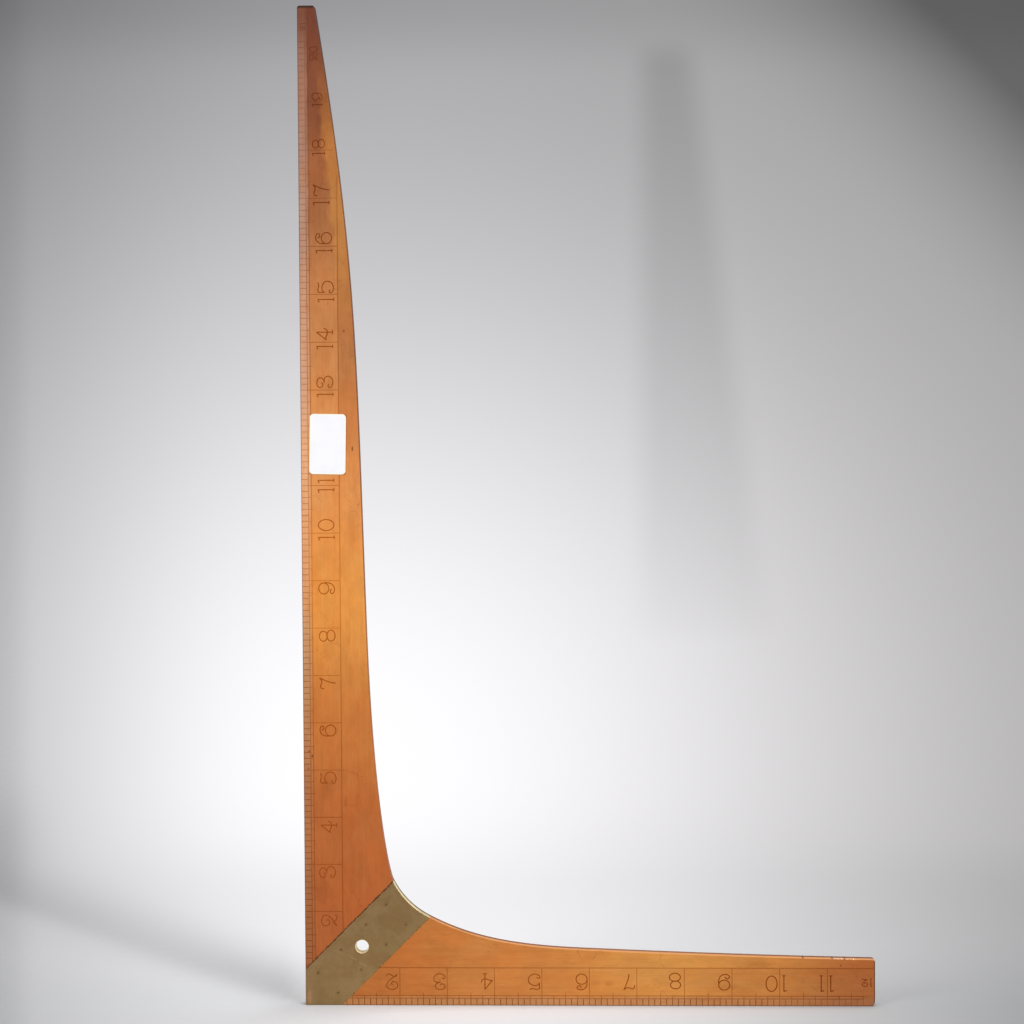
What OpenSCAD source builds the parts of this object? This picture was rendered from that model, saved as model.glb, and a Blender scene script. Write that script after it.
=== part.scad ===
// Tailor's square: two boxwood arms riveted into a solid brass corner, with inch scales cut along the
// outer edges of both faces. It stands on the outer edge of its short arm, as it is photographed.
// The origin is the outer corner, halfway through the thickness. +X runs along the short arm,
// +Z runs up the long arm, and the front face looks towards -Y. All sizes are in millimetres.

/* [Arms] */
// Length of the long arm in inches, along its outer edge
long_inches = 21; // [19:1:24]
// Length of the short arm in inches, along its outer edge
short_inches = 12; // [10:1:14]
// Thickness of the boxwood and of the brass corner
board_t = 6.35; // [5:0.05:8]
// Width of the long arm where its bow begins
long_waist_w = 34.2; // [32:0.1:37]
// Width of the long arm at its tip
long_tip_w = 9.2; // [8:0.1:12]
// Width of the short arm where its taper begins
short_waist_w = 30.1; // [29:0.1:33]
// Width of the short arm at its end
short_end_w = 25.1; // [24:0.1:28]

/* [Brass corner] */
// Distance from the outer corner to each seam, along the outer edges
seam_d = 19.5; // [17:0.5:22]
// Radius of the hollow curve inside the corner
hollow_r = 43.8; // [40:0.1:50]
// Distance along a seam's arm from the outer corner to the seam's inner end
seam_reach = 67.1; // [64:0.1:70]
// Radius of the hanging hole
hole_r = 3.5; // [3:0.05:4.5]
// Distance of the hanging hole from the outer corner, along the diagonal
hole_at = 44.1; // [40:0.1:48]
// Distance of the hanging hole from the diagonal, towards the long arm
hole_off = 0.9; // [0:0.1:2]
// Bevel round each mouth of the hanging hole
hole_bevel = 0.25; // [0.1:0.05:0.5]

/* [Tongues and rivets] */
// Thickness of the wooden tongue that each arm pushes into the brass
tongue_t = 2.4; // [2:0.1:3]
// How far each tongue stops short of the middle of the brass
tongue_stop = 5.5; // [4.5:0.5:6]
// Brass left round the ends of each tongue
tongue_cover = 3; // [2:0.5:4]
// Radius of a rivet's shank
rivet_r = 0.9; // [0.7:0.05:1.2]
// Radius of a rivet's flush head
rivet_head_r = 1.2; // [1:0.05:1.5]
// Depth of the countersink that a rivet's head fills
rivet_head_h = 0.6; // [0.4:0.05:0.9]
// Distance of the rivets from the diagonal
rivet_off = 7.6; // [6.5:0.1:9]

/* [Scales] */
// Divisions of each inch
divisions = 8; // [8:8:16]
// Depth of the cut lines
cut_depth = 0.25; // [0.15:0.05:0.4]
// How far the dark filling lies below the wood
fill_drop = 0.05; // [0.02:0.01:0.1]
// Width of a cut line
line_w = 0.36; // [0.25:0.01:0.5]
// Distances of the three long lines from the outer edge
long_lines = [3.9, 5.4, 20.4];
// How far the half-inch marks of the long arm pass the second line
long_half_over = 0.8; // [0:0.1:3]
// How far the half-inch marks of the short arm pass the second line
short_half_over = 1.6; // [0:0.1:3]

/* [Paper label] */
// Width of the label, across the long arm
label_w = 19.3; // [16:0.1:22]
// Height of the label, along the long arm
label_h = 32.1; // [25:0.1:40]
// Thickness of the label
label_t = 0.12; // [0.1:0.01:0.2]
// Radius of the label's corners
label_r = 2; // [1:0.1:3]
// Tilt of the label in degrees
label_tilt = -1; // [-3:0.5:3]

/* [Hidden] */

inch = 25.4;
long_len = long_inches * inch;
short_len = short_inches * inch;
half_t = board_t / 2;
eps = 0.01;
fine = 48;

boxwood = [0.79, 0.48, 0.23];
old_brass = [0.55, 0.45, 0.28];
dark_fill = [0.36, 0.17, 0.07];
paper = [0.95, 0.94, 0.90];

// Distances along the diagonal from the outer corner to the rivets of either arm
rivet_at = [17.2, 34.9, 54.1, 69.4];

// Widths at a seam's two ends follow from the seam's 45 degrees
seam_w = seam_reach - seam_d;

// Corner radii of the tip and the end, outer edge first
long_tip_r = [1.2, 1.6];
short_end_r = [2.7, 1.6];

// Control points of each arm's inner edge, as distance along the arm and width there
long_waist = 200;
short_waist = 150;
long_edge_ctrl = [
    [seam_reach, seam_w], [73.1, seam_w - 3], [long_waist - 85, long_waist_w + 2.7],
    [long_waist, long_waist_w], [long_waist + 155, long_waist_w - 4.95],
    [long_len - 140, long_tip_w + 21.7], [long_len, long_tip_w]
];
short_edge_ctrl = [
    [seam_reach, seam_w], [90.1, seam_w - 12], [short_waist - 36, short_waist_w + 1.5],
    [short_waist, short_waist_w], [short_waist + 50, short_waist_w - 2.2],
    [short_len - 50, short_end_w + 0.9], [short_len, short_end_w]
];
edge_steps = 16;

// Point at share t of the curve that the four control points from p[i] set
function bezier(p, i, t) =
    pow(1 - t, 3) * p[i] + 3 * t * pow(1 - t, 2) * p[i + 1]
    + 3 * t * t * (1 - t) * p[i + 2] + pow(t, 3) * p[i + 3];

// Two curves, end to end
function edge_points(p) = [
    for (k = [0 : 2 * edge_steps])
        k < edge_steps ? bezier(p, 0, k / edge_steps) : bezier(p, 3, k / edge_steps - 1)
];

long_edge = edge_points(long_edge_ctrl);
short_edge = edge_points(short_edge_ctrl);

function unit(v) = v / norm(v);
function reversed(points) = [for (i = [len(points) - 1 : -1 : 0]) points[i]];

// Points of the arc of radius r that rounds the corner c between the neighbours a and b
function rounded(a, c, b, r, steps = 6) =
    let (u = unit(a - c), v = unit(b - c), half = acos(u * v) / 2)
    let (centre = c + unit(u + v) * r / sin(half))
    let (p = c + u * r / tan(half) - centre, q = c + v * r / tan(half) - centre)
    let (from = atan2(p.y, p.x), to = atan2(q.y, q.x))
    let (sweep = (to - from + 540) % 360 - 180)
    [for (i = [0 : steps]) centre + r * [cos(from + sweep * i / steps), sin(from + sweep * i / steps)]];

// Outline of one arm's wood outside the brass, as distance along the arm and width.
// The edge's own last point is replaced by the rounding of the corner there.
function arm_outline(length, edge, tip_r) =
    let (last = len(edge) - 1)
    concat(
        [[seam_d, 0]],
        rounded([seam_d, 0], [length, 0], edge[last], tip_r[0]),
        rounded([length, 0], edge[last], edge[last - 1], tip_r[1]),
        [for (i = [last - 1 : -1 : 0]) edge[i]]
    );

// Hollow curve of the brass from the long arm's seam to the short arm's, round a centre on the diagonal
hollow_half = asin(seam_d / sqrt(2) / hollow_r);
hollow_at = (seam_reach + seam_w) / sqrt(2) + hollow_r * cos(hollow_half);
hollow_steps = 16;
hollow_centre = hollow_at / sqrt(2) * [1, 1];
hollow = [
    for (i = [0 : hollow_steps])
        let (a = 225 - hollow_half + 2 * hollow_half * i / hollow_steps)
        hollow_centre + hollow_r * [cos(a), sin(a)]
];

// A flat shape in X and Z is given a thickness from y = back to y = front, where front is the lower
module slab(front, back) {
    translate([0, back, 0]) rotate([90, 0, 0]) linear_extrude(back - front) children();
}

// Long-arm shapes are drawn like short-arm ones, and change places across the diagonal
module on_arm(arm) {
    if (arm == "long") mirror([1, -1, 0]) children();
    else children();
}

module arm_profile(arm) {
    on_arm(arm) polygon(
        arm == "long"
        ? arm_outline(long_len, long_edge, long_tip_r)
        : arm_outline(short_len, short_edge, short_end_r)
    );
}

// Part of the brass that a tongue fills: its ends follow the outer edge and the hollow
module tongue_profile(arm) {
    half_w = seam_d / sqrt(2);
    skew = tongue_cover * sqrt(2);
    inner = hollow_at - hollow_r - tongue_cover;
    on_arm(arm) rotate(45) polygon([
        [tongue_stop + skew, -tongue_stop], [inner, -tongue_stop],
        [inner, -half_w], [half_w + skew, -half_w]
    ]);
}

module tongue(arm) {
    slab(-tongue_t / 2, tongue_t / 2) tongue_profile(arm);
}

// Where rivet i of an arm stands on the face, as [x, z]
function rivet_place(arm, i) =
    let (side = arm == "long" ? 1 : -1)
    [rivet_at[i] - side * rivet_off, rivet_at[i] + side * rivet_off] / sqrt(2);

module rivet(arm, i) {
    place = rivet_place(arm, i);
    translate([place.x, -half_t, place.y]) rotate([-90, 0, 0]) rotate_extrude($fn = fine) polygon([
        [0, 0], [rivet_head_r, 0], [rivet_r, rivet_head_h],
        [rivet_r, board_t - rivet_head_h], [rivet_head_r, board_t], [0, board_t]
    ]);
}

// Marks

// Width of an arm at a distance along it
function width_at(edge, s) = lookup(s, edge);

// The lines stop this far from the arm's rounded edges and from the brass
edge_margin = 0.6;
seam_margin = 0.2;
inner_margin = 0.8;
// The cuts of the marks run off the outer edge, and their filling has worn away this far from it
worn_margin = 0.6;
inch_mark_gap = 1.6;

// How far from the outer edge a mark reaches: all the way for an inch, less for its parts
function mark_reach(k, half_over) =
    k % divisions == 0 ? long_lines[2]
    : k % (divisions / 2) == 0 ? long_lines[1] + half_over
    : k % (divisions / 4) == 0 ? long_lines[1]
    : long_lines[0];

module bar(from, to) {
    translate(from) square(to - from);
}

// Where the line at distance d leaves the wood, which narrows towards the tip
function line_end(edge, d, stop) =
    let (inside = [for (p = edge) if (p.y - inner_margin > d) p.x])
    min(stop, max(inside));

// The cut lines of one arm, as distance along the arm and from its outer edge. The marks start at a
// given distance from that edge, and those of half inches pass the second line by half_over.
module graduations(length, edge, stop, start, half_over) {
    for (i = [0 : 2]) {
        d = long_lines[i];
        to = i < 2 ? stop : length - 2 * edge_margin;
        bar([seam_d + d + seam_margin + line_w, d - line_w / 2],
            [line_end(edge, d, to), d + line_w / 2]);
    }
    first = ceil((seam_d + 2 * seam_margin) / inch * divisions);
    for (k = [first : floor(stop / inch * divisions + eps)]) {
        s = k * inch / divisions;
        reach = min(
            mark_reach(k, half_over), s - seam_d - seam_margin - line_w, width_at(edge, s) - inch_mark_gap
        );
        if (reach > 2 * edge_margin)
            bar([s - line_w / 2, start], [s + line_w / 2, reach + (k % divisions == 0 ? line_w / 2 : 0)]);
    }
}

// Where the two outer lines and the marks stop on each arm
long_stop = long_len - 0.75 * inch;
short_stop = short_len - 0.25 * inch;

module arm_graduations(arm, start) {
    on_arm(arm) {
        if (arm == "long") graduations(long_len, long_edge, long_stop, start, long_half_over);
        else graduations(short_len, short_edge, short_stop, start, short_half_over);
    }
}

// Marks cut into a face, from inside a groove's floor to a level under or over the surface
module on_face(face, level) {
    if (face == "front") slab(-half_t - level, -half_t + cut_depth) children();
    else slab(half_t - cut_depth, half_t + level) children();
}

// Sub-parts

module arm(name) {
    color(boxwood) difference() {
        union() {
            slab(-half_t, half_t) arm_profile(name);
            tongue(name);
        }
        for (i = [0 : len(rivet_at) - 1]) rivet(name, i);
        for (face = ["front", "back"]) on_face(face, eps) arm_graduations(name, -eps);
    }
}

module brass_corner() {
    color(old_brass) difference() {
        slab(-half_t, half_t) polygon(concat([[0, 0], [seam_d, 0]], reversed(hollow), [[0, seam_d]]));
        tongue("long");
        tongue("short");
        for (name = ["long", "short"], i = [0 : len(rivet_at) - 1]) rivet(name, i);
        translate([hole_at - hole_off, 0, hole_at + hole_off] / sqrt(2)) rotate([90, 0, 0]) {
            cylinder(h = board_t + 2 * eps, r = hole_r, center = true, $fn = fine);
            for (side = [0, 1]) mirror([0, 0, side]) translate([0, 0, half_t - hole_bevel])
                cylinder(h = 2 * hole_bevel, r1 = hole_r, r2 = hole_r + 2 * hole_bevel, $fn = fine);
        }
    }
}

module rivet_part(arm, i) {
    color(old_brass) rivet(arm, i);
}

module graduation_part(arm, face) {
    color(dark_fill) on_face(face, -fill_drop) arm_graduations(arm, worn_margin);
}

// Middle of the label, where it covers the twelfth inch
label_at = [14.35, 301.4];

module paper_label() {
    color(paper) slab(-half_t - label_t, -half_t) translate(label_at) rotate(label_tilt) {
        square([label_w - 2 * label_r, label_h], center = true);
        square([label_w, label_h - 2 * label_r], center = true);
        for (x = [-1, 1], y = [-1, 1])
            translate([x * (label_w / 2 - label_r), y * (label_h / 2 - label_r)]) circle(r = label_r, $fn = fine);
    }
}

arm("long");  // long_arm
arm("short");  // short_arm
brass_corner();
for (arm = ["long", "short"], i = [0 : len(rivet_at) - 1])
    rivet_part(arm, i);
for (arm = ["long", "short"], face = ["front", "back"])
    graduation_part(arm, face);
paper_label();
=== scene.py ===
"""Tailor's square: boxwood arms, a brass corner, rivets, cut scales and a paper label.

Shapes are worked out in millimetres and become metres when they turn into meshes. A point on an arm is
(s, d): s runs along the arm from the outer corner, and d is the distance from the arm's outer edge.
"""
import math

import bmesh
import bpy
from mathutils import Matrix, Vector
from mathutils.geometry import delaunay_2d_cdt


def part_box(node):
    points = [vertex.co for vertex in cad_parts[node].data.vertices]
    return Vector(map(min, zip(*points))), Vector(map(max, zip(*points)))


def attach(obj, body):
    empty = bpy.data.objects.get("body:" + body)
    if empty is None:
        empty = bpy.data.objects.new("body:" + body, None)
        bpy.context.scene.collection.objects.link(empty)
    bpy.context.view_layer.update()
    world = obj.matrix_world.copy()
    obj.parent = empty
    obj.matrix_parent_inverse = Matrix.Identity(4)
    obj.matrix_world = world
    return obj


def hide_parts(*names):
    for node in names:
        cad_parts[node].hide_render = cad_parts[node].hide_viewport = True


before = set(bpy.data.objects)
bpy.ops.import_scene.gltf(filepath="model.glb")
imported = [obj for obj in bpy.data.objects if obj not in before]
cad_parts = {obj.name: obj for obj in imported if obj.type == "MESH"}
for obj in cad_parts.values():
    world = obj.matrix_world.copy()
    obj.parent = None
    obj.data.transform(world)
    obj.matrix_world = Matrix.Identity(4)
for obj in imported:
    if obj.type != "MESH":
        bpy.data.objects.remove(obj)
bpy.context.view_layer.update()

# Sizes in millimetres
MM = 0.001
INCH = 25.4
HALF_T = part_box("brass_corner")[1].y / MM
LENGTH = {"long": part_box("long_arm")[1].z / MM, "short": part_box("short_arm")[1].x / MM}
# The faces, each with the side of the middle that it lies on along Y
FACES = {"front": -1, "back": 1}
INCHES = {arm: round(length / INCH) for arm, length in LENGTH.items()}
SEAM_D = 19.5
SEAM_REACH = 67.1
SEAM_W = SEAM_REACH - SEAM_D
HOLLOW_R = 43.8
HOLE_R = 3.5
HOLE_AT = 44.1
HOLE_OFF = 0.9
HOLE_BEVEL = 0.25
HOLE_STEPS = 64

# Control points of each arm's inner edge, two curves end to end
INNER_EDGE = {
    "long": [
        (SEAM_REACH, SEAM_W), (73.1, SEAM_W - 3), (115, 36.9), (200, 34.2),
        (355, 29.25), (LENGTH["long"] - 140, 30.9), (LENGTH["long"], 9.2),
    ],
    "short": [
        (SEAM_REACH, SEAM_W), (90.1, SEAM_W - 12), (114, 31.6), (150, 30.1),
        (200, 27.9), (LENGTH["short"] - 50, 26), (LENGTH["short"], 25.1),
    ],
}
EDGE_STEPS = 24
# Radii of the outline's corners at each arm's end, outer edge first
END_RADII = {"long": (1.2, 1.6), "short": (2.7, 1.6)}
HEEL_R = 0.6
CORNER_STEPS = 6
HOLLOW_STEPS = 28

# Rounding of the edges between the faces and the walls
WOOD_ROUND = 0.5
BRASS_ROUND = 0.35
SEAM_ROUND = 0.07
ROUND_STEPS = 5
SHARP_ANGLE = 30
# Points this near to a seam or a rim count as lying on it, and edges this nearly in line are taken as one
NEAR = 0.01
IN_LINE = 1e-4
# Surfaces that face this much along an axis are taken to face it
FACING = 0.9

# Cut lines and numerals
CUT_DEPTH = 0.25
FILL_DROP = 0.05
CUT_ABOVE = 0.3
STROKE_W = 0.55
# Marks that start nearer to the outer edge than this are carried on over it
MARK_START = 0.9
LINE_HALF_W = 0.25
LONG_LINES = (3.9, 5.4, 20.4)
NUMERAL_H = 8.7
NUMERAL_D = {"long": 13.2, "short": 12.9}
NARROW_W = 21
# How much nearer to the outer edge than the middle of a narrow arm its numerals stand
NARROW_SHIFT = 0.7
# How flat shapes are divided where they cross: into faces that a mesh can hold, merging points this near
CDT_FOR_MESHES = 4
CDT_NEAR = 1e-4

# Tongues and rivets
TONGUE_HALF_T = 1.2
TONGUE_STOP = 5.5
TONGUE_COVER = 3
TONGUE_ROOT = 1
RIVET_AT = (17.2, 34.9, 54.1, 69.4)
RIVET_OFF = 7.6
RIVET_R = 0.9
RIVET_HEAD_R = 1.2
RIVET_HEAD_H = 0.6
RIVET_GAP = 0.03
RIVET_STEPS = 28
# The upper half of a rivet's section, as (depth below the face, radius): the punch mark and the head's rim
PUNCH_R = 0.55
PUNCHED = [(0.16, 0.12), (0.04, PUNCH_R - 0.1), (0, PUNCH_R)]
HEAD_RIM = [(0, RIVET_HEAD_R - 0.06), (0.03, RIVET_HEAD_R)]

# Paper label: its middle on the face, its sizes and its tilt in degrees
LABEL_AT = (14.35, 301.4)
LABEL_SIZE = (19.3, 32.1)
LABEL_T = 0.12
LABEL_R = 2
LABEL_TILT = -1
# Its softened rim, as (share of the thickness, how far it is drawn in)
LABEL_SECTION = ((0, 0), (0.6, 0), (0.9, 0.03), (1, 0.1))


# Plane geometry

def unit(v):
    return v / v.length


def bezier(points, t):
    """Point at share t of the curve of four control points."""
    a, b, c, d = (Vector(p) for p in points)
    r = 1 - t
    return a * r ** 3 + 3 * b * t * r ** 2 + 3 * c * t ** 2 * r + d * t ** 3


def inner_edge(arm):
    """Points of an arm's inner edge, from the seam to the end."""
    ctrl = INNER_EDGE[arm]
    first = [bezier(ctrl[:4], k / EDGE_STEPS) for k in range(EDGE_STEPS)]
    second = [bezier(ctrl[3:], k / EDGE_STEPS) for k in range(EDGE_STEPS + 1)]
    return first + second


def width_at(arm, s):
    """Width of an arm at a distance along it."""
    edge = inner_edge(arm)
    for a, b in zip(edge, edge[1:]):
        if s <= b.x:
            return a.y + (b.y - a.y) * (s - a.x) / (b.x - a.x)
    return edge[-1].y


def rounded(before, corner, after, r):
    """Points of the arc that rounds a corner between its neighbours."""
    u = unit(before - corner)
    v = unit(after - corner)
    half = u.angle(v) / 2
    centre = corner + unit(u + v) * r / math.sin(half)
    start = corner + u * r / math.tan(half) - centre
    stop = corner + v * r / math.tan(half) - centre
    a = math.atan2(start.y, start.x)
    sweep = (math.atan2(stop.y, stop.x) - a + 3 * math.pi) % (2 * math.pi) - math.pi
    return [
        centre + r * Vector((math.cos(a + sweep * i / CORNER_STEPS), math.sin(a + sweep * i / CORNER_STEPS)))
        for i in range(CORNER_STEPS + 1)
    ]


def arm_outline(arm):
    """Outline of an arm's board outside the brass, anticlockwise, as (s, d)."""
    edge = inner_edge(arm)
    length = LENGTH[arm]
    foot = Vector((SEAM_D, 0))
    corner = Vector((length, 0))
    outer_r, inner_r = END_RADII[arm]
    return (
        [foot]
        + rounded(foot, corner, edge[-1], outer_r)
        + rounded(corner, edge[-1], edge[-2], inner_r)
        + edge[-2::-1]
    )


def brass_outline():
    """Outline of the brass corner, anticlockwise, as (x, z). Its hollow is an arc."""
    half = math.asin(SEAM_D / math.sqrt(2) / HOLLOW_R)
    centre_at = (SEAM_REACH + SEAM_W) / math.sqrt(2) + HOLLOW_R * math.cos(half)
    centre = Vector((1, 1)) * centre_at / math.sqrt(2)
    hollow = []
    for i in range(HOLLOW_STEPS + 1):
        a = math.radians(225) + half - 2 * half * i / HOLLOW_STEPS
        hollow.append(centre + HOLLOW_R * Vector((math.cos(a), math.sin(a))))
    heel = rounded(Vector((0, SEAM_D)), Vector((0, 0)), Vector((SEAM_D, 0)), HEEL_R)
    return heel + [Vector((SEAM_D, 0))] + hollow + [Vector((0, SEAM_D))]


def tongue_outline():
    """Outline of an arm's tongue inside the brass, as (s, d)."""
    half_w = SEAM_D / math.sqrt(2)
    skew = TONGUE_COVER * math.sqrt(2)
    half = math.asin(half_w / HOLLOW_R)
    hollow_at = (SEAM_REACH + SEAM_W) / math.sqrt(2) - HOLLOW_R * (1 - math.cos(half))
    inner = hollow_at - TONGUE_COVER
    corners = [
        (TONGUE_STOP + skew, -TONGUE_STOP), (half_w + skew, -half_w),
        (inner, -half_w), (inner, -TONGUE_STOP),
    ]
    turn = Matrix.Rotation(math.radians(45), 2)
    return [turn @ Vector(c) for c in corners]


def in_place(arm, point, y):
    """A point of an arm, or of the whole square where arm is short, in the frame in metres."""
    a, b = (point.y, point.x) if arm == "long" else (point.x, point.y)
    return Vector((a, y, b)) * MM


# Mesh building

def new_object(name, bm, materials):
    """Closes a bmesh into a named object of the scene."""
    bmesh.ops.recalc_face_normals(bm, faces=bm.faces)
    mesh = bpy.data.meshes.new(name)
    bm.to_mesh(mesh)
    bm.free()
    for material in materials:
        mesh.materials.append(material)
    obj = bpy.data.objects.new(name, mesh)
    bpy.context.scene.collection.objects.link(obj)
    return obj


def add_prism(bm, rings):
    """A closed solid through rings of equal length, with a flat face at each end."""
    loops = [[bm.verts.new(p) for p in ring] for ring in rings]
    count = len(loops[0])
    for low, high in zip(loops, loops[1:]):
        for i in range(count):
            j = (i + 1) % count
            bm.faces.new((low[i], low[j], high[j], high[i]))
    bm.faces.new(loops[0])
    bm.faces.new(loops[-1])


def on_seam(a, b):
    """True if both points lie on one of the two seams."""
    return all(abs(abs(p.x - p.y) - SEAM_D) < NEAR for p in (a, b))


def inset(outline, amounts):
    """The outline with each edge moved inwards by its own amount."""
    count = len(outline)
    lines = []
    for i in range(count):
        along = unit(outline[(i + 1) % count] - outline[i])
        inwards = Vector((-along.y, along.x))
        lines.append((outline[i] + inwards * amounts[i], along, inwards))
    moved = []
    for i in range(count):
        p, along, _ = lines[i - 1]
        q, _, normal = lines[i]
        slope = along.dot(normal)
        if abs(slope) < IN_LINE:
            moved.append(q.copy())
        else:
            moved.append(p + along * (q - p).dot(normal) / slope)
    return moved


def plate(name, arm, outline, edge_round, material):
    """A flat piece of the full thickness with rounded edges, and nearly sharp ones along the seams."""
    count = len(outline)
    shares = [
        SEAM_ROUND if on_seam(outline[i], outline[(i + 1) % count]) else edge_round
        for i in range(count)
    ]
    rings = []
    for side in (1, -1):
        for k in range(ROUND_STEPS + 1):
            step = ROUND_STEPS - k if side > 0 else k
            a = math.radians(90) * step / ROUND_STEPS
            drawn_in = inset(outline, [share * (1 - math.cos(a)) for share in shares])
            y = side * (HALF_T - edge_round * (1 - math.sin(a)))
            rings.append([in_place(arm, p, y) for p in drawn_in])
    bm = bmesh.new()
    add_prism(bm, rings)
    return new_object(name, bm, [material])


def lathe(bm, x, z, profile, count):
    """A closed turned solid round a line along Y. The profile is a list of (y, r)."""
    turns = [2 * math.pi * i / count for i in range(count)]
    add_prism(bm, [
        [Vector((x + r * math.cos(a), y, z + r * math.sin(a))) * MM for a in turns] for y, r in profile
    ])


def bake_modifiers(obj):
    """Works an object's modifiers into its mesh."""
    graph = bpy.context.evaluated_depsgraph_get()
    made = bpy.data.meshes.new_from_object(obj.evaluated_get(graph))
    obj.modifiers.clear()
    obj.data = made


def cut(obj, cutter, operation="DIFFERENCE"):
    """Takes one solid from another, or adds it."""
    change = obj.modifiers.new("cut", "BOOLEAN")
    change.object = cutter
    change.operation = operation
    change.solver = "EXACT"
    change.material_mode = "TRANSFER"
    bpy.context.view_layer.update()
    bake_modifiers(obj)
    bpy.data.objects.remove(cutter)


def close_holes(obj):
    """Fills the tiny holes that cutting can leave."""
    bm = bmesh.new()
    bm.from_mesh(obj.data)
    bmesh.ops.holes_fill(bm, edges=[edge for edge in bm.edges if edge.is_boundary])
    bm.to_mesh(obj.data)
    bm.free()


def shade(obj):
    """Smooth shading that keeps flat faces flat and edges over the sharp angle sharp."""
    mesh = obj.data
    mesh.shade_smooth()
    mesh.set_sharp_from_angle(angle=math.radians(SHARP_ANGLE))
    weighted = obj.modifiers.new("weighted", "WEIGHTED_NORMAL")
    weighted.keep_sharp = True
    bake_modifiers(obj)


def adopt(obj, slot, *nodes):
    """The object rides on the square and stands for CAD nodes, which it hides. The slot is not used."""
    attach(obj, "root")
    if nodes:
        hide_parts(*nodes)


# Materials

# A surface is a wall where it faces this little to the front or the back
WALL_FACING = (0.6, 0.985)
# Where the rim of a ragged spot lies, in shares of its size
SPOT_RIM = 1.4
# The roughness of a noise that doesn't say its own
NOISE_ROUGH = 0.55


def srgb(red, green, blue):
    """A colour as a picture shows it, 0 to 255, for a shader."""
    linear = []
    for value in (red, green, blue):
        share = value / 255
        linear.append(share / 12.92 if share <= 0.04045 else ((share + 0.055) / 1.055) ** 2.4)
    return (*linear, 1)


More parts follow.
